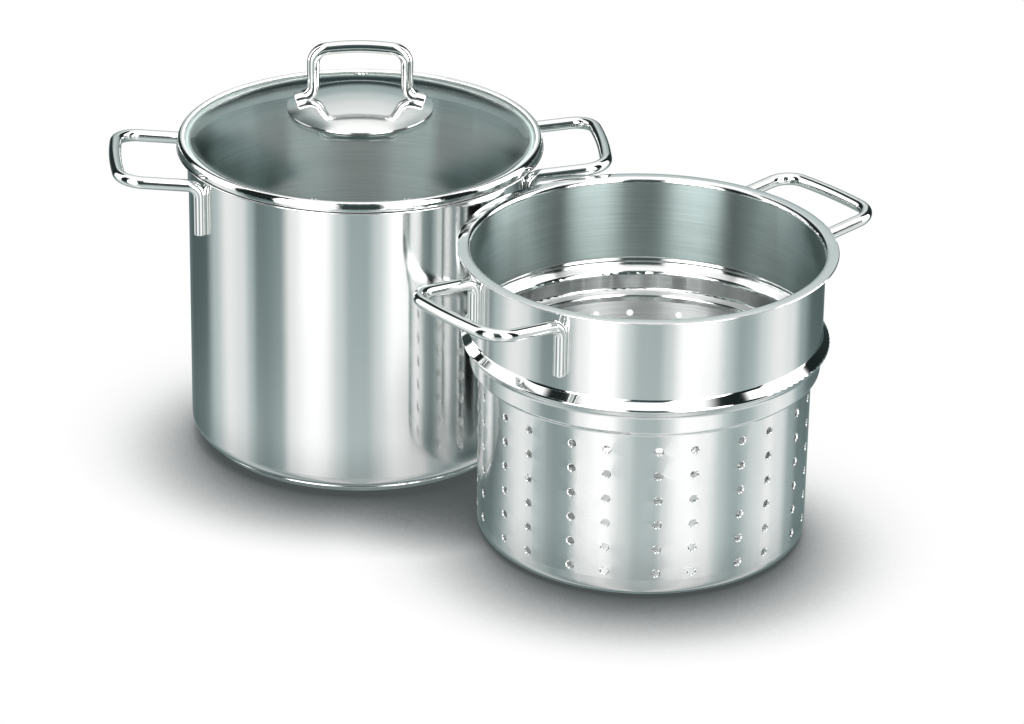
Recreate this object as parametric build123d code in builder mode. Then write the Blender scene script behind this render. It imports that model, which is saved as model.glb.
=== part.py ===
"""Pasta pot with a glass lid, and its strainer insert standing beside it.

Millimetres, +Z up. The origin is the middle of the pot's base, on the table.
The pot's two handles lie along X.
"""

import os
from math import acos, atan2, cos, hypot, radians, sin, sqrt, tan

from build123d import *

# Sheet and rim, shared by the pot and the strainer
wall_t = 0.8
rim_w = 7.5
rim_bend_r = 2.4
rim_lip_w = 2.6
rim_lip_drop = 0.25
rim_lip_turn_r = 9.0
rim_edge_r = 0.5
rim_under_r = 0.2
corner_r = 8.0

# Pot
pot_r = 111.3
pot_h = 201.5
base_t = 5.8
base_foot_in = 9.6
base_flank_in = 6.5
base_lip_in = 7.6
base_flank_drop = 1.3
base_foot_rise = 0.9
base_foot_inset = 1.2
base_round_r = 0.7
cap_t = 0.6

# Loop handles, the same on the pot and the strainer
rod_r = 4.0
handle_out = 44.8
handle_bow = 3.0
handle_half = 40.8
handle_corner_r = 15.5
handle_bar_r = 300.0
handle_tilt = 5.6
handle_drop = 9.8
leg_sink = 1.4
leg_bend_r = 7.5
leg_drop = 43.6
leg_end_r = 1.0

# Strainer
strainer_h = 192.2
strainer_in = 0.6
strainer_turn = 33.5
neck_gap = 0.6
collar_h = 54.9
bead_proud = 5.3
bead_upper_h = 5.5
bead_lower_h = 5.9
bead_edge_r = 1.6
bead_crease_r = 2.0
bead_foot_r = 3.0
neck_h = 12.7
shoulder_step = 5.3
shoulder_out_r = 2.5
shoulder_in_r = 2.7
sieve_taper = 0.5

# Perforation
hole_r = 2.25
hole_flare = 0.65
hole_rows = 6
hole_first_z = 17.1
hole_last_drop = 12.85
pair_count = 12
pair_half = 6.2
floor_edge_w = 24.6
floor_ring_count = 5
floor_ring_step = 6

# Where the strainer stands beside the pot
stand_gap = 1.0
stand_corner_gap = 0.35

# Lid ring, seal and glass
lid_turn = -5.0
lid_seat = 0.3
lid_ring_gap = 0.5
lid_ring_w = 3.1
lid_ring_h = 6.3
lid_ring_crown_w = 2.5
lid_ring_crown_h = 5.0
lid_ring_inner_r = 0.4
lid_ring_foot_r = 0.6
ledge_t = 0.7
skirt_t = 0.8
skirt_gap = 0.6
skirt_depth = 6.8
skirt_hem_r = 0.35
seal_t = 0.3
seal_lip_w = 1.4
seal_foot_w = 4.0
glass_t = 4.0
glass_edge_w = 5.0
glass_crown = 22.6
glass_blend_r = 12.0
glass_hole_r = 6.5

# Rosette, arch handle and what holds them
disc_r = 47.0
disc_rise = 8.7
disc_t = 1.0
disc_edge_r = 0.4
gasket_t = 0.5
gasket_w = 2.4
gasket_gap = 0.1
arch_half = 30.1
arch_rise = 29.9
arch_bow = 3.4
arch_corner_r = 10.0
arch_bar_r = 150.0
foot_bend_r = 8.5
foot_reach = 11.6
foot_sink = 1.3
foot_end_r = 0.8
boss_r = 5.6
screw_r = 2.5
screw_gap = 0.05
screw_engage = 9.0
screw_head_r = 4.8
screw_head_h = 2.6
screw_head_round_r = 0.8
screw_slot_w = 1.2
screw_slot_d = 1.3
cup_r = 28.0
cup_depth = 8.4
cup_corner_r = 3.2
cup_t = 0.8

# Steam vent
vent_in = 18.9
vent_hole_r = 3.2
vent_gap = 0.1
vent_bore_r = 2.2
vent_flange_r = 5.0
vent_flange_t = 0.5
vent_round_r = 0.2

# Overrun of every cut
over = 3.0

# Radii that follow
rim_r = pot_r + rim_w
base_foot_r = pot_r - base_foot_in
base_flank_r = pot_r - base_flank_in
base_lip_r = pot_r - base_lip_in
handle_reach = pot_r + handle_out
strainer_r = pot_r - strainer_in
neck_r = pot_r - wall_t - neck_gap
sieve_r = neck_r - shoulder_step
bead_r = strainer_r + bead_proud
skirt_r = strainer_r - wall_t - skirt_gap
floor_ring_pitch = (sieve_r - floor_edge_w) / floor_ring_count

# Strainer heights that follow, from its rim downwards
bead_top_z = strainer_h - collar_h
bead_z = bead_top_z - bead_upper_h
bead_foot_z = bead_z - bead_lower_h
shoulder_z = bead_foot_z - neck_h
hole_pitch = (shoulder_z - hole_last_drop - hole_first_z) / (hole_rows - 1)

os.makedirs("parts", exist_ok=True)


def save(piece, name):
    """Label one finished piece and write it."""
    piece.part.label = name
    export_step(piece.part, f"parts/{name}.step")


def rim_points(wall_r, top_z):
    """Underside of a rim: the bend, the flat and the lip that turns down."""
    under = top_z - wall_t
    return [(wall_r, under), (rim_r - rim_lip_w, under), (rim_r, under - rim_lip_drop)]


def round_rim_edge(section):
    """Round a rim's edge, its upper corner more than its lower one."""
    edge = section.vertices().sort_by(Axis.X)[-2:].sort_by(Axis.Y)
    fillet(edge[-1:], rim_edge_r)
    edge = section.vertices().sort_by(Axis.X)[-2:].sort_by(Axis.Y)
    fillet(edge[:1], rim_under_r)


def ball_radius(half_chord, rise):
    """Radius of the ball that a shallow dome is cut from."""
    return (half_chord**2 + rise**2) / (2 * rise)


def dome_z(r, ball_r, apex_z):
    """Height of a dome at distance r from its axis."""
    return apex_z - ball_r + sqrt(ball_r**2 - r**2)


def dome_point(r, ball_r, apex_z):
    """Point of a dome's section at distance r from its axis."""
    return (r, dome_z(r, ball_r, apex_z))


def dome_arc(r0, r1, ball_r, apex_z):
    """Arc of a dome's section, drawn from r0 to r1."""
    middle = (r0 + r1) / 2
    return ThreePointArc(
        dome_point(r0, ball_r, apex_z),
        dome_point(middle, ball_r, apex_z),
        dome_point(r1, ball_r, apex_z),
    )


def loop_handle(name, plane, wall_r, top_z):
    """Bent rod loop whose two legs are welded down a wall."""
    leg_x = sqrt((wall_r + rod_r - leg_sink) ** 2 - handle_half**2)
    foot_z = top_z - leg_drop

    def level(x):
        return top_z - handle_drop + (x - wall_r) * tan(radians(handle_tilt))

    with BuildPart(plane) as handle:
        with BuildLine(plane) as path:
            FilletPolyline(
                (leg_x, handle_half, foot_z),
                (leg_x, handle_half, level(leg_x)),
                (handle_reach, handle_half, level(handle_reach)),
                (handle_reach + handle_bow, 0, level(handle_reach + handle_bow)),
                (handle_reach, -handle_half, level(handle_reach)),
                (leg_x, -handle_half, level(leg_x)),
                (leg_x, -handle_half, foot_z),
                radius=[leg_bend_r, handle_corner_r, handle_bar_r, handle_corner_r, leg_bend_r],
            )
        with BuildSketch(path.line ^ 0):
            Circle(rod_r)
        sweep(path=path.line)
        fillet(handle.faces().filter_by(Plane.XY).edges(), leg_end_r)
        with BuildSketch(plane):
            Circle(wall_r)
        extrude(amount=top_z + over, mode=Mode.SUBTRACT)
    save(handle, name)


# Pot shell: one drawn sheet, drawn as its outer surface and thickened inwards
with BuildPart() as pot_shell:
    with BuildSketch(Plane.XZ) as pot_sheet:
        with BuildLine():
            FilletPolyline(
                (0, base_t),
                (pot_r, base_t),
                *rim_points(pot_r, pot_h),
                radius=[corner_r, rim_bend_r, rim_lip_turn_r],
            )
            offset(amount=wall_t, side=Side.LEFT)
        make_face()
        round_rim_edge(pot_sheet)
    revolve()
save(pot_shell, "pot_shell")

# Encapsulated base: an aluminium disc in a steel cap, met along the cap's flank
flank_mid_z = base_t - base_flank_drop
core_foot_r = base_foot_r - base_foot_inset

with BuildPart() as pot_base_core:
    with BuildSketch(Plane.XZ):
        with BuildLine():
            Polyline(
                (0, cap_t),
                (core_foot_r - cap_t, cap_t),
                (base_foot_r - cap_t, base_foot_rise + cap_t / 2),
                (base_flank_r - cap_t, flank_mid_z),
                (base_lip_r - cap_t, base_t),
                (0, base_t),
                close=True,
            )
        make_face()
    revolve()
save(pot_base_core, "pot_base_core")

with BuildPart() as pot_base_cap:
    with BuildSketch(Plane.XZ) as cap_section:
        with BuildLine():
            Polyline(
                (0, 0),
                (core_foot_r, 0),
                (base_foot_r, base_foot_rise),
                (base_flank_r, flank_mid_z),
                (base_lip_r, base_t),
                (base_lip_r - cap_t, base_t),
                (base_flank_r - cap_t, flank_mid_z),
                (base_foot_r - cap_t, base_foot_rise + cap_t / 2),
                (core_foot_r - cap_t, cap_t),
                (0, cap_t),
                close=True,
            )
        make_face()
        fillet(cap_section.vertices().sort_by(Axis.X)[-1:], base_round_r)
    revolve()
save(pot_base_cap, "pot_base_cap")

for side, turn in (("right", 0), ("left", 180)):
    loop_handle(f"pot_handle_{side}", Plane.XY.rotated((0, 0, turn)), pot_r, pot_h)

# The strainer stands a gap off the pot's wall, its rim close to the right handle's corner
corner_x = handle_reach - handle_corner_r
corner_y = handle_half - handle_corner_r
corner_z = pot_h - handle_drop + (corner_x - pot_r) * tan(radians(handle_tilt))
lip_z = strainer_h - rim_lip_drop
corner_clear = sqrt(max((rod_r + stand_corner_gap) ** 2 - (corner_z - lip_z) ** 2, 0))
wall_reach = pot_r + rim_r + stand_gap
corner_reach = handle_corner_r + corner_clear + rim_r
corner_away = hypot(corner_x, corner_y)
stand_cos = (wall_reach**2 + corner_away**2 - corner_reach**2) / (2 * wall_reach * corner_away)
stand_turn = -atan2(corner_y, corner_x) - acos(stand_cos)
strainer_x = wall_reach * cos(stand_turn)
strainer_y = wall_reach * sin(stand_turn)

strainer_plane = Plane(
    origin=(strainer_x, strainer_y, 0),
    x_dir=(cos(radians(strainer_turn)), sin(radians(strainer_turn)), 0),
    z_dir=(0, 0, 1),
)
strainer_section = Plane(
    origin=strainer_plane.origin, x_dir=strainer_plane.x_dir, z_dir=-strainer_plane.y_dir
)
strainer_axis = Axis(strainer_plane.origin, strainer_plane.z_dir)


def wall_hole(turn, z):
    """Plane on the sieve's wall, its normal along one hole."""
    reach = sieve_r - sieve_taper * (1 - z / shoulder_z)
    out = Vector(reach, 0, 0).rotate(Axis.Z, turn)
    face = strainer_plane.from_local_coords(out + Vector(0, 0, z))
    return Plane(origin=face, z_dir=face - strainer_plane.from_local_coords((0, 0, z)))


hole_turns = [
    360 / pair_count * pair + half for pair in range(pair_count) for half in (-pair_half, pair_half)
]
hole_levels = [hole_first_z + hole_pitch * row for row in range(hole_rows)]
wall_holes = [wall_hole(turn, z) for turn in hole_turns for z in hole_levels]

# Strainer shell, drawn as its outer surface and thickened inwards, then perforated
with BuildPart() as strainer_shell:
    with BuildSketch(strainer_section) as strainer_sheet:
        with BuildLine():
            FilletPolyline(
                (0, 0),
                (sieve_r - sieve_taper, 0),
                (sieve_r, shoulder_z),
                (neck_r, shoulder_z),
                (neck_r, bead_foot_z),
                (bead_r, bead_z),
                (strainer_r, bead_top_z),
                *rim_points(strainer_r, strainer_h),
                radius=[
                    corner_r,
                    shoulder_in_r,
                    shoulder_out_r,
                    bead_foot_r,
                    bead_edge_r,
                    bead_crease_r,
                    rim_bend_r,
                    rim_lip_turn_r,
                ],
            )
            offset(amount=wall_t, side=Side.LEFT)
        make_face()
        round_rim_edge(strainer_sheet)
    revolve(axis=strainer_axis)
    with Locations(*wall_holes):
        CounterSinkHole(hole_r, hole_r + hole_flare, depth=wall_t + over)
    with Locations(strainer_plane.offset(wall_t)):
        Hole(hole_r, depth=wall_t + over)
        for ring in range(1, floor_ring_count + 1):
            with PolarLocations(floor_ring_pitch * ring, floor_ring_step * ring):
                Hole(hole_r, depth=wall_t + over)
save(strainer_shell, "strainer_shell")

for side, turn in (("right", 0), ("left", 180)):
    plane = strainer_plane.rotated((0, 0, turn))
    loop_handle(f"strainer_handle_{side}", plane, strainer_r, strainer_h)

# Lid levels and radii, from the seat on the pot's rim upwards
lid_z = pot_h + lid_seat
ledge_z = lid_z + ledge_t
glass_z = ledge_z + seal_t
glass_top_z = glass_z + glass_t
ring_r = rim_r - lid_ring_gap
ring_bore_r = ring_r - lid_ring_w
glass_r = ring_bore_r - seal_t
dome_r = glass_r - glass_edge_w
glass_ball_r = ball_radius(dome_r, glass_crown)
glass_apex_z = glass_top_z + glass_crown
inner_ball_r = glass_ball_r - glass_t
inner_apex_z = glass_apex_z - glass_t
inner_dome_r = sqrt(inner_ball_r**2 - (inner_ball_r - inner_apex_z + glass_z) ** 2)

# Steel ring: a round-topped band, a ledge for the glass and a skirt into the pot
with BuildPart() as lid_rim:
    with BuildSketch(Plane.XZ) as rim_section:
        with BuildLine():
            crown_mid = (ring_r - lid_ring_crown_w, lid_z + lid_ring_h - lid_ring_crown_h)
            crown = EllipticalCenterArc(crown_mid, lid_ring_crown_w, lid_ring_crown_h)
            Polyline(
                crown @ 0,
                (ring_r, lid_z),
                (skirt_r, lid_z),
                (skirt_r, lid_z - skirt_depth),
                (skirt_r - skirt_t, lid_z - skirt_depth),
                (skirt_r - skirt_t, ledge_z),
                (ring_bore_r, ledge_z),
                (ring_bore_r, lid_z + lid_ring_h),
                crown @ 1,
            )
        make_face()
        top = rim_section.vertices().group_by(Axis.Y)[-1]
        fillet(top.sort_by(Axis.X)[:1], lid_ring_inner_r)
        fillet(rim_section.vertices().group_by(Axis.Y)[0], skirt_hem_r)
        foot = rim_section.vertices().filter_by_position(Axis.Y, lid_z, lid_z)
        fillet(foot.sort_by(Axis.X)[-1:], lid_ring_foot_r)
    revolve()
save(lid_rim, "lid_rim")

# Silicone channel between the ring and the glass
seal_top_z = glass_top_z + seal_t
seal_bore_r = ring_bore_r - seal_lip_w
seal_foot_r = ring_bore_r - seal_foot_w

with BuildPart() as lid_seal:
    with BuildSketch(Plane.XZ):
        with BuildLine():
            Polyline(
                (ring_bore_r, ledge_z),
                (ring_bore_r, seal_top_z),
                (seal_bore_r, seal_top_z),
                (seal_bore_r, glass_top_z),
                (glass_r, glass_top_z),
                (glass_r, glass_z),
                (seal_foot_r, glass_z),
                (seal_foot_r, ledge_z),
                close=True,
            )
        make_face()
    revolve()
save(lid_seal, "lid_seal")

# Domed glass with a flat edge, a centre hole and the vent's hole
lid_plane = Plane.XY.rotated((0, 0, lid_turn))
vent_reach = glass_r - vent_in
vent_z = dome_z(vent_reach, glass_ball_r, glass_apex_z)
vent_origin = lid_plane.from_local_coords((0, vent_reach, vent_z))
glass_ball_mid = Vector(0, 0, glass_apex_z - glass_ball_r)
vent_plane = Plane(origin=vent_origin, z_dir=vent_origin - glass_ball_mid)

with BuildPart() as lid_glass:
    with BuildSketch(Plane.XZ) as glass_section:
        with BuildLine():
            outer = dome_arc(glass_hole_r, dome_r, glass_ball_r, glass_apex_z)
            inner = dome_arc(inner_dome_r, glass_hole_r, inner_ball_r, inner_apex_z)
            Polyline(outer @ 1, (glass_r, glass_top_z), (glass_r, glass_z), inner @ 0)
            Line(inner @ 1, outer @ 0)
        make_face()
        fillet(glass_section.vertices().filter_by_position(Axis.X, dome_r, dome_r), glass_blend_r)
        fillet(
            glass_section.vertices().filter_by_position(Axis.X, inner_dome_r, inner_dome_r),
            glass_blend_r + glass_t,
        )
        fillet(glass_section.vertices().group_by(Axis.X)[-1], seal_t)
    revolve()
    with Locations(vent_plane.offset(over)):
        Hole(vent_hole_r, depth=glass_t + 2 * over)
save(lid_glass, "lid_glass")

# Steam vent eyelet, riveted through the glass
vent_section = Plane(vent_plane.origin, x_dir=vent_plane.x_dir, z_dir=-vent_plane.y_dir)

with BuildPart() as lid_vent:
    with BuildSketch(vent_section) as eyelet:
        with BuildLine():
            top = vent_gap
            under = -glass_t - vent_gap
            barrel_r = vent_hole_r - vent_gap
            Polyline(
                (vent_bore_r, top + vent_flange_t),
                (vent_flange_r, top + vent_flange_t),
                (vent_flange_r, top),
                (barrel_r, top),
                (barrel_r, under),
                (vent_flange_r, under),
                (vent_flange_r, under - vent_flange_t),
                (vent_bore_r, under - vent_flange_t),
                close=True,
            )
        make_face()
        fillet(eyelet.vertices().group_by(Axis.X)[-1], vent_round_r)
        fillet(eyelet.vertices().group_by(Axis.X)[0], vent_round_r)
    revolve(axis=Axis(vent_plane.origin, vent_plane.z_dir))
save(lid_vent, "lid_vent")

# Rosette: a shallow polished dome that rests on a gasket on the glass
gasket_z = dome_z(disc_r, glass_ball_r, glass_apex_z) + gasket_t
disc_ball_r = ball_radius(disc_r, disc_rise)
disc_apex_z = gasket_z + disc_t + disc_rise
disc_under_z = disc_apex_z - disc_t

with BuildPart() as lid_disc:
    with BuildSketch(Plane.XZ) as disc_section:
        with BuildLine():
            crown = dome_arc(0, disc_r, disc_ball_r, disc_apex_z)
            hollow = dome_arc(disc_r, 0, disc_ball_r, disc_under_z)
            Line(crown @ 1, hollow @ 0)
            Line(hollow @ 1, crown @ 0)
        make_face()
        edge = disc_section.vertices().filter_by_position(Axis.X, disc_r, disc_r)
        fillet(edge.sort_by(Axis.Y)[-1:], disc_edge_r)
    revolve()
save(lid_disc, "lid_disc")

with BuildPart() as lid_disc_gasket:
    with BuildSketch(Plane.XZ):
        with BuildLine():
            seat = dome_arc(disc_r - gasket_w, disc_r, glass_ball_r, glass_apex_z)
            back = dome_arc(disc_r, disc_r - gasket_w, glass_ball_r, glass_apex_z + gasket_t)
            Line(seat @ 1, back @ 0)
            Line(back @ 1, seat @ 0)
        make_face()
    revolve()
save(lid_disc_gasket, "lid_disc_gasket")

# Arch handle: feet splayed down the rosette and pressed flat on it
foot_ball_r = disc_ball_r + rod_r - foot_sink
foot_apex_z = disc_apex_z + rod_r - foot_sink
foot_tip_x = arch_half + foot_reach
foot_tip_z = dome_z(foot_tip_x, foot_ball_r, foot_apex_z)
foot_root_z = dome_z(arch_half, foot_ball_r, foot_apex_z)
arch_z = disc_apex_z + arch_rise

with BuildPart(lid_plane) as lid_handle:
    with BuildLine(lid_plane) as arch:
        FilletPolyline(
            (-foot_tip_x, 0, foot_tip_z),
            (-arch_half, 0, foot_root_z),
            (-arch_half, 0, arch_z),
            (0, 0, arch_z + arch_bow),
            (arch_half, 0, arch_z),
            (arch_half, 0, foot_root_z),
            (foot_tip_x, 0, foot_tip_z),
            radius=[foot_bend_r, arch_corner_r, arch_bar_r, arch_corner_r, foot_bend_r],
        )
    with BuildSketch(arch.line ^ 0):
        Circle(rod_r)
    sweep(path=arch.line)
    fillet(lid_handle.faces().filter_by(GeomType.PLANE).edges(), foot_end_r)
    with Locations((0, 0, disc_apex_z - disc_ball_r)):
        Sphere(disc_ball_r, mode=Mode.SUBTRACT)
save(lid_handle, "lid_handle")

# Cup washer under the glass, with its gasket, the sleeve and the screw
cup_rim_z = dome_z(cup_r, inner_ball_r, inner_apex_z) - gasket_t
cup_floor_z = cup_rim_z - cup_depth
boss_top_z = dome_z(boss_r, disc_ball_r, disc_under_z)
boss_foot_z = cup_floor_z + cup_t

with BuildPart() as lid_cup:
    with BuildSketch(Plane.XZ):
        with BuildLine():
            FilletPolyline(
                (screw_r + screw_gap, cup_floor_z),
                (cup_r, cup_floor_z),
                (cup_r, cup_rim_z),
                radius=cup_corner_r,
            )
            offset(amount=cup_t, side=Side.LEFT)
        make_face()
    revolve()
save(lid_cup, "lid_cup")

with BuildPart() as lid_cup_gasket:
    with BuildSketch(Plane.XZ):
        with BuildLine():
            seat = dome_arc(cup_r - gasket_w, cup_r, inner_ball_r, inner_apex_z - gasket_gap)
            Polyline(seat @ 1, (cup_r, cup_rim_z), (cup_r - gasket_w, cup_rim_z), seat @ 0)
        make_face()
    revolve()
save(lid_cup_gasket, "lid_cup_gasket")

with BuildPart() as lid_boss:
    with BuildSketch(Plane.XY.offset(boss_foot_z)):
        Circle(boss_r)
    extrude(amount=boss_top_z - boss_foot_z)
    with Locations(Plane.XY.offset(boss_foot_z + screw_engage + over)):
        Hole(screw_r + screw_gap, depth=screw_engage + 2 * over)
save(lid_boss, "lid_boss")

with BuildPart() as lid_screw:
    with BuildSketch(Plane.XY.offset(cup_floor_z)):
        Circle(screw_r)
    extrude(amount=cup_t + screw_engage)
    with BuildSketch(Plane.XY.offset(cup_floor_z)):
        Circle(screw_head_r)
    extrude(amount=-screw_head_h)
    fillet(lid_screw.edges().group_by(Axis.Z)[0], screw_head_round_r)
    with BuildSketch(Plane.XY.offset(cup_floor_z - screw_head_h)):
        Rectangle(2 * screw_head_r, screw_slot_w)
    extrude(amount=screw_slot_d, mode=Mode.SUBTRACT)
save(lid_screw, "lid_screw")
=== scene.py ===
import math

import bpy
from mathutils import Matrix, Vector


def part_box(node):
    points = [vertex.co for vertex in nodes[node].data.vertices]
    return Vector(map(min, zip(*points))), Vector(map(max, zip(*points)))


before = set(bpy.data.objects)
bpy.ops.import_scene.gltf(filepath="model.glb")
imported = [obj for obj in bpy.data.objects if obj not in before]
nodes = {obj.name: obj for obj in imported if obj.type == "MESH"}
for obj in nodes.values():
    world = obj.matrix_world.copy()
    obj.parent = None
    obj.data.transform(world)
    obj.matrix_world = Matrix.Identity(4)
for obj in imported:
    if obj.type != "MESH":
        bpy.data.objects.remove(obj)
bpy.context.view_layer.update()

# Axes of the two vessels as seen from above, in metres
POT_AXIS = (0.0, 0.0)
shell_lo, shell_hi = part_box("strainer_shell")
STRAINER_AXIS = ((shell_lo[0] + shell_hi[0]) / 2, (shell_lo[1] + shell_hi[1]) / 2)

# Camera fitted to the photograph, in degrees, metres and pixels
YAW = -6.65
PITCH = 24.66
ROLL = 0.85
EYE = (-0.2164, -2.7230, 1.3001)
FOCAL_PX = 4539.0
IMAGE_PX = 1024.0
SENSOR_MM = 36.0
CLIP_NEAR = 0.1
CLIP_FAR = 50.0


def add_camera():
    data = bpy.data.cameras.new("camera")
    data.sensor_width = SENSOR_MM
    data.lens = FOCAL_PX / IMAGE_PX * data.sensor_width
    data.clip_start = CLIP_NEAR
    data.clip_end = CLIP_FAR
    camera = bpy.data.objects.new("camera", data)
    bpy.context.collection.objects.link(camera)
    turn = (
        Matrix.Rotation(math.radians(YAW), 4, "Z")
        @ Matrix.Rotation(math.radians(90.0 - PITCH), 4, "X")
        @ Matrix.Rotation(math.radians(ROLL), 4, "Z")
    )
    camera.matrix_world = Matrix.Translation(Vector(EYE)) @ turn
    bpy.context.scene.camera = camera


WHITE = (1.0, 1.0, 1.0, 1.0)


class Tree:
    """Adds nodes to a node tree. Values are numbers, colours or other nodes' outputs."""

    def __init__(self, tree):
        self.tree = tree

    def node(self, kind, **values):
        made = self.tree.nodes.new(kind)
        for name, value in values.items():
            setattr(made, name, value)
        return made

    def feed(self, socket, value):
        if isinstance(value, bpy.types.NodeSocket):
            self.tree.links.new(value, socket)
        else:
            socket.default_value = value

    def fill(self, node, values):
        """Feed several inputs of a node, by name or number."""
        for name, value in values.items():
            self.feed(node.inputs[name], value)

    def math(self, operation, a, b=0.0):
        made = self.node("ShaderNodeMath", operation=operation)
        self.fill(made, {0: a, 1: b})
        return made.outputs[0]

    def plus(self, first, *others):
        for value in others:
            first = self.math("ADD", first, value)
        return first

    def minus(self, a, b):
        return self.math("SUBTRACT", a, b)

    def times(self, first, *others):
        for value in others:
            first = self.math("MULTIPLY", first, value)
        return first

    def vector(self, x, y, z):
        made = self.node("ShaderNodeCombineXYZ")
        self.fill(made, {0: x, 1: y, 2: z})
        return made.outputs[0]

    def split(self, vector):
        made = self.node("ShaderNodeSeparateXYZ")
        self.feed(made.inputs[0], vector)
        return made.outputs

    def place(self):
        return self.node("ShaderNodeTexCoord").outputs["Object"]

    def noise(self, vector, scale=1.0, detail=2.0, roughness=0.5):
        made = self.node("ShaderNodeTexNoise")
        self.fill(made, {"Vector": vector, "Scale": scale, "Detail": detail, "Roughness": roughness})
        return made.outputs[0]

    def between(self, value, low, high, to_low=0.0, to_high=1.0, smooth=True):
        """Carry the range from low to high over to another one, and clamp it there."""
        made = self.node("ShaderNodeMapRange")
        made.interpolation_type = "SMOOTHSTEP" if smooth else "LINEAR"
        self.fill(made, {
            "Value": value, "From Min": low, "From Max": high, "To Min": to_low, "To Max": to_high,
        })
        return made.outputs[0]

    def blend(self, share, at_none, at_all):
        """A number by its share, which runs from 0 to 1."""
        return self.between(share, 0.0, 1.0, at_none, at_all, smooth=False)

    def ramp(self, factor, stops, ease="EASE"):
        made = self.node("ShaderNodeValToRGB")
        made.color_ramp.interpolation = ease
        elements = made.color_ramp.elements
        while len(elements) < len(stops):
            elements.new(0.5)
        for element, (place, colour) in zip(elements, stops):
            element.position = place
            element.color = (*colour, 1.0)
        self.feed(made.inputs[0], factor)
        return made.outputs[0]

    def mix_colour(self, factor, a, b, blend="MIX"):
        made = self.node("ShaderNodeMix", data_type="RGBA", blend_type=blend)
        self.fill(made, {0: factor, 6: a, 7: b})
        return made.outputs[2]

    def shaded(self, colour, shade):
        return self.mix_colour(1.0, (*colour, 1.0), self.vector(shade, shade, shade), "MULTIPLY")

    def bump(self, height, strength, distance):
        made = self.node("ShaderNodeBump")
        self.fill(made, {"Height": height, "Strength": strength, "Distance": distance})
        return made.outputs[0]

    def mix_shader(self, factor, a, b):
        """A node that mixes two shader nodes."""
        made = self.node("ShaderNodeMixShader")
        self.fill(made, {0: factor, 1: a.outputs[0], 2: b.outputs[0]})
        return made


class Material(Tree):
    """A new material's tree, with a Principled shader that is yet to be filled in."""

    def __init__(self, name):
        self.material = bpy.data.materials.new(name)
        self.material.use_nodes = True
        super().__init__(self.material.node_tree)
        self.tree.nodes.clear()
        self.out = self.node("ShaderNodeOutputMaterial")
        self.shader = self.node("ShaderNodeBsdfPrincipled")
        self.show(self.shader)

    def show(self, shader):
        self.feed(self.out.inputs["Surface"], shader.outputs[0])


# Faces whose normal leans less than this to or from the axis are between inside and outside
EDGE_ON = 0.05
# Heights in metres over which a polished part of a wall, or the painted shade of its inside, sets in
BAND_END = 0.0005
PAINTED_SHADE_END = 0.002

# Grain of the drawn steel: noise cells to a radian, to a metre of radius and to one of height
LINES = (1.6, 2600.0, 2600.0)
BRUSH = (2.2, 1300.0, 1300.0)
CLOUDS = (5.0, 30.0, 6.0)
WAVES = (7.0, 0.0, 1.5)
STREAKS = (55.0, 0.0, 3.0)
# How the grain shades the steel: a range of noise, and the range that it becomes
CLOUD_SHADE = (0.2, 0.8, 0.97, 1.02)
LINE_SHADE = (0.25, 0.75, 0.985, 1.01)
BRUSH_SHADE = (0.3, 0.7, -0.12, 0.1)
# How high the grain stands, in parts of the bump's distance
WAVE_HEIGHT = 0.3
LINE_HEIGHT = 0.006
STREAK_HEIGHT = 0.08
WALL_BUMP = 0.25
WALL_BUMP_DISTANCE = 0.001

NOISE_MIDDLE = 0.5
# Share by which the grain changes the roughness, and share of it that a polished band keeps
ROUGH_SPREAD = 0.3
POLISHED_ROUGH = 0.3
# Faces of punched edges, by how far they face the axis, and their roughness
PUNCHED_FACING = (0.8, 0.6)
PUNCHED_ROUGH = 0.65
# Painted shade: the darker, cooler colour given to the brushed inside of the vessels
INNER_PAINTED_SHADE = (0.5, 0.59, 0.58, 1.0)


def polar(t, axis):
    """Turn, radius and height of a surface point round a vertical axis.

    The last one is how far its face looks away from the axis, from -1 to 1.
    """
    x, y, z = t.split(t.place())
    x = t.minus(x, axis[0])
    y = t.minus(y, axis[1])
    turn = t.math("ARCTAN2", y, x)
    radius = t.math("SQRT", t.plus(t.times(x, x), t.times(y, y)))
    normal = t.split(t.node("ShaderNodeNewGeometry").outputs["True Normal"])
    dot = t.plus(t.times(normal[0], x), t.times(normal[1], y))
    return turn, radius, z, t.math("DIVIDE", dot, radius)


def outward(t, facing):
    """1 where the face looks away from the axis, 0 where it looks at it."""
    return t.between(facing, -EDGE_ON, EDGE_ON)


def level(t, z, low, high):
    """1 between two heights and 0 elsewhere."""
    return t.times(t.between(z, low - BAND_END, low), t.between(z, high + BAND_END, high))


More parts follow.
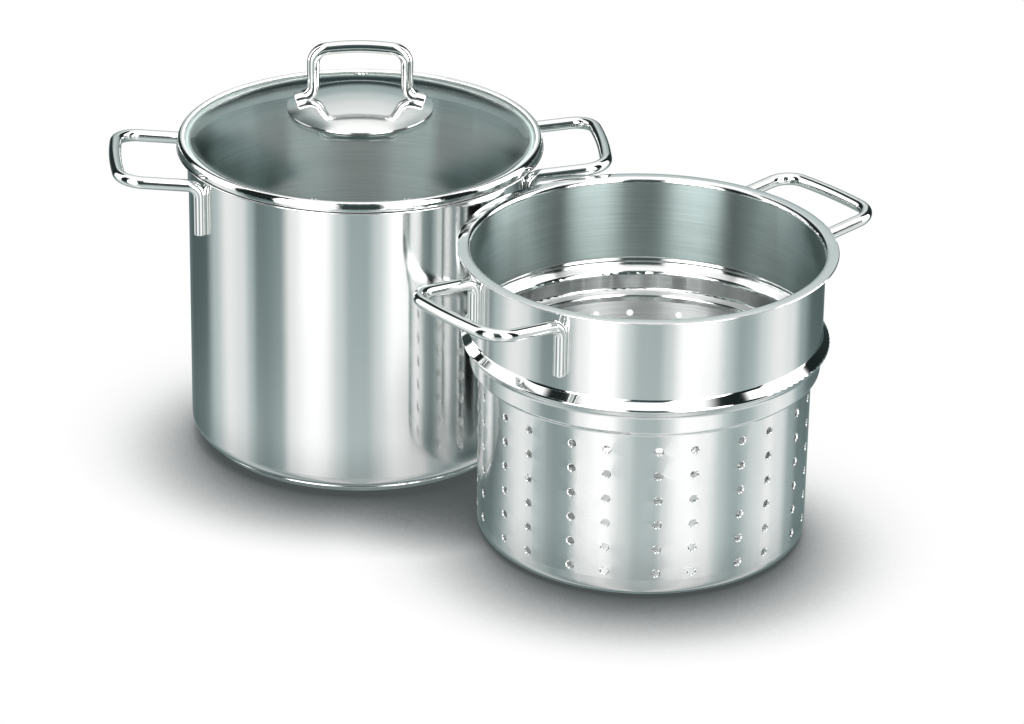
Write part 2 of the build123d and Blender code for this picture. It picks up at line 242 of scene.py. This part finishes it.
def vessel_steel(name, axis, base, rough_out, rough_in, bands=(), holes=None, painted_shade_from=-1.0):
    """Drawn steel, brushed round its axis inside and nearly mirror-bright outside.

    Each band is (low, high, side): heights between which that side, or both, has a mirror polish.
    Between the two heights of holes, faces square to the wall are punched edges, which are matt.
    Above the height that the last argument gives, the brushed inside is darker and cooler: painted
    shade.
    """
    t = Material(name)
    turn, radius, z, facing = polar(t, axis)
    outside = outward(t, facing)
    inside = t.minus(1.0, outside)

    def grain(cells, **kind):
        spot = [t.times(value, scale) for value, scale in zip((turn, radius, z), cells)]
        return t.noise(t.vector(*spot), **kind)

    lines = grain(LINES, detail=3.0, roughness=0.65)
    brush = grain(BRUSH, detail=2.0, roughness=0.6)
    cloud = grain(CLOUDS, detail=2.0)
    wave = grain(WAVES, detail=1.0)
    streak = grain(STREAKS, detail=2.0)

    polished = 0.0
    for low, high, side in bands:
        polish = level(t, z, low, high)
        if side != "both":
            polish = t.times(polish, {"out": outside, "in": inside}[side])
        polished = t.math("MAXIMUM", polished, polish)
    satin = t.minus(1.0, polished)

    spread = t.plus(t.minus(lines, NOISE_MIDDLE), t.minus(cloud, NOISE_MIDDLE))
    rough = t.blend(outside, rough_in, rough_out)
    rough = t.times(rough, t.plus(1.0, t.times(spread, ROUGH_SPREAD)))
    rough = t.times(rough, t.blend(polished, 1.0, POLISHED_ROUGH))
    if holes:
        square = t.between(t.math("ABSOLUTE", facing), *PUNCHED_FACING)
        rough = t.math("MAXIMUM", rough, t.times(square, level(t, z, *holes), PUNCHED_ROUGH))

    brushed = t.times(t.between(brush, *BRUSH_SHADE, smooth=False), inside)
    shade = t.times(
        t.between(cloud, *CLOUD_SHADE),
        t.between(lines, *LINE_SHADE, smooth=False),
        t.plus(1.0, brushed),
    )
    # Painted shade: the satin inside above that height, by default all of it, is darkened and cooled
    painted_inner_shade = t.times(inside, satin, t.between(z, painted_shade_from, painted_shade_from + PAINTED_SHADE_END))
    inner_shade_colour = t.mix_colour(painted_inner_shade, WHITE, INNER_PAINTED_SHADE)
    height = t.plus(
        t.times(wave, WAVE_HEIGHT), t.times(lines, LINE_HEIGHT), t.times(streak, inside, STREAK_HEIGHT),
    )
    t.fill(t.shader, {
        "Base Color": t.mix_colour(1.0, t.shaded(base, shade), inner_shade_colour, "MULTIPLY"),
        "Metallic": 1.0,
        "Roughness": rough,
        "Anisotropic": 1.0,
        "Anisotropic Rotation": 0.25,
        "Tangent": t.node("ShaderNodeTangent", direction_type="RADIAL", axis="Z").outputs[0],
        "Normal": t.bump(height, t.times(satin, WALL_BUMP), WALL_BUMP_DISTANCE),
    })
    return t.material


# Buffing marks and clouds on polished steel, in noise cells to a metre
MARK_CELLS = 900.0
CLOUD_CELLS = 60.0
MARK_ROUGH = 0.04


def polished_steel(name, base, rough, rough_in=None):
    """Mirror steel with faint buffing marks and a barely uneven surface.

    Where rough_in is given, it is for the faces towards the pot's axis.
    """
    t = Material(name)
    marks = t.noise(t.place(), scale=MARK_CELLS, detail=3.0, roughness=0.7)
    cloud = t.noise(t.place(), scale=CLOUD_CELLS, detail=2.0)
    if rough_in is not None:
        facing = polar(t, POT_AXIS)[3]
        rough = t.blend(outward(t, facing), rough_in, rough)
    marked, clouded = (t.times(t.minus(noise, NOISE_MIDDLE), MARK_ROUGH) for noise in (marks, cloud))
    t.fill(t.shader, {
        "Base Color": t.shaded(base, t.between(cloud, *CLOUD_SHADE)),
        "Metallic": 1.0,
        "Roughness": t.plus(rough, marked, clouded),
        "Normal": t.bump(cloud, strength=0.15, distance=0.0005),
    })
    return t.material


def glass(name):
    """Clear tempered glass that lets the lamps through, with faint haze."""
    t = Material(name)
    haze = t.noise(t.place(), scale=35.0, detail=3.0)
    t.fill(t.shader, {
        "Base Color": (0.93, 0.985, 0.975, 1.0),
        "Roughness": t.between(haze, 0.3, 0.8, 0.0, 0.03),
        "Transmission Weight": 1.0,
        "IOR": 1.5,
        "Specular IOR Level": 0.05,
    })
    clear = t.node("ShaderNodeBsdfTransparent")
    clear.inputs[0].default_value = (0.93, 0.96, 0.95, 1.0)
    shadow = t.node("ShaderNodeLightPath").outputs["Is Shadow Ray"]
    t.show(t.mix_shader(shadow, t.shader, clear))
    return t.material


def silicone(name, dark, light):
    """Silicone with a fine matt grain, in noise cells to a metre."""
    t = Material(name)
    grain = t.noise(t.place(), scale=1500.0, detail=2.0)
    t.fill(t.shader, {
        "Base Color": t.ramp(grain, [(0.3, dark), (0.7, light)]),
        "Roughness": t.between(grain, 0.3, 0.7, 0.42, 0.6),
        "Normal": t.bump(grain, strength=0.2, distance=0.0002),
    })
    return t.material


def dress(material, *names):
    for name in names:
        mesh = nodes[name].data
        mesh.materials.clear()
        mesh.materials.append(material)


# Polished bands of the walls: heights in metres, and the side
BEAD = (0.1262, 0.138, "out")
NECK_INSIDE = (0.109, 0.137, "in")
FLOOR_INSIDE = (-0.001, 0.012, "both")
RIM_DEPTH = 0.003
# Heights of the strainer's punched wall, and the height above its neck from which its brushed inside
# has painted shade
SIEVE = (0.012, 0.12)
UPPER_WALL = 0.126

SILVER = (0.8, 0.812, 0.808)
CHROME = (0.8, 0.81, 0.8)
BASE_STEEL = (0.76, 0.775, 0.77)
CORE_ALUMINIUM = (0.8, 0.81, 0.82)
DISC_CHROME = (0.78, 0.79, 0.78)
INNER_STEEL = (0.7, 0.71, 0.7)


def rim_band(node):
    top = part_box(node)[1][2]
    return (top - RIM_DEPTH, top + RIM_DEPTH, "both")


dress(
    vessel_steel("pot_satin", POT_AXIS, SILVER, 0.09, 0.36, [rim_band("pot_shell")]),
    "pot_shell",
)
dress(
    vessel_steel(
        "strainer_satin", STRAINER_AXIS, SILVER, 0.12, 0.36,
        bands=[BEAD, NECK_INSIDE, FLOOR_INSIDE, rim_band("strainer_shell")],
        holes=SIEVE, painted_shade_from=UPPER_WALL,
    ),
    "strainer_shell",
)
dress(vessel_steel("base_satin", POT_AXIS, BASE_STEEL, 0.16, 0.2), "pot_base_cap")
dress(polished_steel("core_aluminium", CORE_ALUMINIUM, 0.35), "pot_base_core")
dress(
    polished_steel("rod_polish", CHROME, 0.07),
    "pot_handle_left", "pot_handle_right",
    "strainer_handle_left", "strainer_handle_right",
    "lid_handle",
)
dress(polished_steel("ring_polish", CHROME, 0.06, rough_in=0.45), "lid_rim")
dress(polished_steel("vent_polish", CHROME, 0.1), "lid_vent")
dress(polished_steel("disc_polish", DISC_CHROME, 0.12), "lid_disc")
dress(polished_steel("inner_polish", INNER_STEEL, 0.25), "lid_cup", "lid_boss", "lid_screw")
dress(glass("lid_glass_clear"), "lid_glass")
dress(silicone("clear_silicone", (0.66, 0.7, 0.69), (0.74, 0.77, 0.76)), "lid_seal")
dress(
    silicone("grey_silicone", (0.05, 0.055, 0.055), (0.09, 0.095, 0.095)),
    "lid_disc_gasket", "lid_cup_gasket",
)


# Floor: a square sheet just under the part, in metres
FLOOR_HALF = 12.0
FLOOR_DROP = 0.0002
FLOOR_CELLS = 400.0
# Its shadow: how far and which way it looks for the pots, and its colour by how open that is
SHADOW_REACH = 0.09
SHADOW_WAY = (0.05, 0.55, 0.83)
SHADOW_SAMPLES = 16
SHADOW_STOPS = [
    (0.3, (0.07, 0.08, 0.08)), (0.5, (0.17, 0.185, 0.185)), (0.7, (0.5, 0.515, 0.515)),
    (0.86, (0.86, 0.865, 0.865)), (0.97, (1.0, 1.0, 1.0)),
]
# Share of white in the shadow as steel mirrors it
SHADOW_FADE = 0.6


def add_floor():
    mesh = bpy.data.meshes.new("floor")
    corners = [(-1, -1), (1, -1), (1, 1), (-1, 1)]
    mesh.from_pydata([(x * FLOOR_HALF, y * FLOOR_HALF, 0) for x, y in corners], [], [(0, 1, 2, 3)])
    floor = bpy.data.objects.new("floor", mesh)
    bpy.context.collection.objects.link(floor)
    floor.location.z = -FLOOR_DROP
    t = Material("floor_paper")
    grain = t.noise(t.place(), scale=FLOOR_CELLS, detail=2.0)
    shade = t.between(grain, 0.3, 0.7, 0.9, 0.91)
    t.fill(t.shader, {
        "Base Color": t.vector(shade, shade, shade),
        "Roughness": 0.9,
        "Specular IOR Level": 0.0,
    })
    # What the camera sees of it is white, and dark where the pots stand close
    near = t.node("ShaderNodeAmbientOcclusion", samples=SHADOW_SAMPLES)
    t.fill(near, {"Distance": SHADOW_REACH, "Normal": t.vector(*SHADOW_WAY)})
    dark = t.ramp(near.outputs["AO"], SHADOW_STOPS, "LINEAR")
    seen = t.node("ShaderNodeEmission")
    t.feed(seen.inputs["Color"], dark)
    path = t.node("ShaderNodeLightPath").outputs
    sight = t.math("MAXIMUM", path["Is Camera Ray"], path["Is Transmission Ray"])
    paper = t.mix_shader(sight, t.shader, seen)
    # Gloss looks through it to the studio, apart from that shadow
    through = t.node("ShaderNodeBsdfTransparent")
    t.feed(through.inputs[0], t.mix_colour(SHADOW_FADE, dark, WHITE))
    t.show(t.mix_shader(path["Is Glossy Ray"], paper, through))
    mesh.materials.append(t.material)


def add_lamp(name, place, target, size, watts):
    """A soft rectangular lamp that lights the part and is never seen itself."""
    data = bpy.data.lights.new(name, "AREA")
    data.shape = "RECTANGLE"
    data.size, data.size_y = size
    data.energy = watts
    lamp = bpy.data.objects.new(name, data)
    bpy.context.collection.objects.link(lamp)
    lamp.location = place
    lamp.rotation_euler = (Vector(target) - Vector(place)).to_track_quat("-Z", "Y").to_euler()
    lamp.visible_glossy = False
    lamp.visible_camera = False
    lamp.visible_transmission = False


# Studio round the part: white to the camera, and grey bands of panels and gaps to everything else.
# Stops of a band are (angle, brightness), from -180 to 180 degrees, with 0 towards the camera.
TABLE_BAND = [
    (-180, 0.5), (-168, 0.38), (-152, 0.3), (-136, 0.36), (-122, 0.5), (-108, 0.72), (-96, 0.95),
    (-84, 0.85), (-74, 0.66), (-64, 0.5), (-54, 0.62), (-42, 0.95), (-30, 1.15), (-18, 0.95),
    (-6, 0.74), (8, 0.74), (18, 0.95), (30, 1.15), (44, 0.98), (56, 0.66), (66, 0.55), (76, 0.68),
    (86, 0.85), (98, 1.0), (110, 0.85), (122, 0.5), (136, 0.34), (156, 0.3), (170, 0.4), (180, 0.5),
]
LEVEL_BAND = [
    (-180, 0.4), (-166, 0.2), (-150, 0.12), (-126, 0.12), (-112, 0.6), (-98, 1.0), (-84, 0.9),
    (-76, 0.5), (-70, 0.18), (-54, 0.28), (-44, 1.0), (-34, 1.3), (-22, 1.3), (-12, 0.72),
    (-4, 0.42), (6, 0.42), (14, 0.72), (24, 1.3), (42, 1.2), (54, 0.68), (62, 0.42), (70, 0.46),
    (80, 0.78), (94, 1.0), (106, 0.9), (120, 0.35), (134, 0.12), (160, 0.12), (172, 0.3), (180, 0.4),
]
HIGH_BAND = [
    (-180, 0.05), (-124, 0.02), (-117, 1.6), (-84, 2.0), (-77, 0.02), (-52, 0.02), (-48, 5.5),
    (-23, 5.5), (-14, 1.8), (-9, 0.06), (14, 0.06), (18, 1.8), (26, 5.5), (49, 5.5), (54, 0.02),
    (77, 0.02), (84, 4.0), (116, 4.0), (123, 0.02), (180, 0.05),
]
TOP_BAND = [
    (-180, 0.5), (-160, 0.5), (-150, 0.03), (-120, 0.02), (-112, 1.4), (-86, 1.8), (-78, 0.02),
    (-48, 0.02), (-43, 4.5), (-20, 4.5), (-13, 0.15), (13, 0.15), (22, 4.5), (46, 4.5), (51, 0.02),
    (78, 0.02), (86, 2.4), (112, 2.0), (120, 0.02), (150, 0.03), (160, 0.5), (180, 0.5),
]
# Sines of the heights between which each band takes over from the one below it
BAND_RISES = ((LEVEL_BAND, -0.46, -0.4), (HIGH_BAND, -0.22, -0.12), (TOP_BAND, 0.45, 0.58))
CEILING_RISE = (0.8, 0.84)
CEILING = (1.3, 1.3, 1.3, 1.0)
# A pale wall behind the part: turn in radians, sines of heights, and brightness up it
WALL_TURN = (2.74, 2.86)
WALL_RISE = (0.0, 0.12)
WALL_STOPS = [(0.0, 0.4), (0.25, 0.5), (0.42, 0.74), (0.6, 0.92), (0.75, 1.1)]
# Shares of red and blue in a dark grey, and how soon red comes back in a paler one
DARK_RED = 0.69
RED_POWER = 1.2
BLUE = 0.995


def steel_grey(value):
    """A grey of the studio, cooler the darker it is."""
    red = value * min(1.0, DARK_RED + (1.0 - DARK_RED) * value**RED_POWER)
    return (red, value, value * BLUE)


def grey_stops(stops):
    return [(place, steel_grey(value)) for place, value in stops]


def add_world():
    world = bpy.data.worlds.new("studio")
    bpy.context.scene.world = world
    world.use_nodes = True
    world.node_tree.nodes.clear()
    t = Tree(world.node_tree)
    out = t.node("ShaderNodeOutputWorld")
    x, y, z = t.split(t.node("ShaderNodeTexCoord").outputs["Generated"])
    cos_yaw, sin_yaw = math.cos(math.radians(YAW)), math.sin(math.radians(YAW))
    right = t.plus(t.times(x, cos_yaw), t.times(y, sin_yaw))
    ahead = t.minus(t.times(y, cos_yaw), t.times(x, sin_yaw))
    turn = t.math("ARCTAN2", right, t.times(ahead, -1.0))
    around = t.between(turn, -math.pi, math.pi, smooth=False)

    def band(stops):
        return t.ramp(around, grey_stops([((angle + 180.0) / 360.0, value) for angle, value in stops]))

    colour = band(TABLE_BAND)
    for stops, low, high in BAND_RISES:
        colour = t.mix_colour(t.between(z, low, high), colour, band(stops))
    behind = t.times(t.between(t.math("ABSOLUTE", turn), *WALL_TURN), t.between(z, *WALL_RISE))
    colour = t.mix_colour(behind, colour, t.ramp(z, grey_stops(WALL_STOPS)))
    colour = t.mix_colour(t.between(z, *CEILING_RISE), colour, CEILING)
    camera_ray = t.node("ShaderNodeLightPath").outputs["Is Camera Ray"]
    back = t.node("ShaderNodeBackground")
    t.feed(back.inputs[0], t.mix_colour(camera_ray, colour, WHITE))
    t.feed(out.inputs[0], back.outputs[0])


add_camera()
add_floor()
add_lamp("overhead", place=(0.35, 0.9, 2.6), target=(0.05, -0.05, 0.0), size=(1.6, 1.2), watts=62.0)
add_world()
bpy.context.scene.view_settings.view_transform = "Standard"
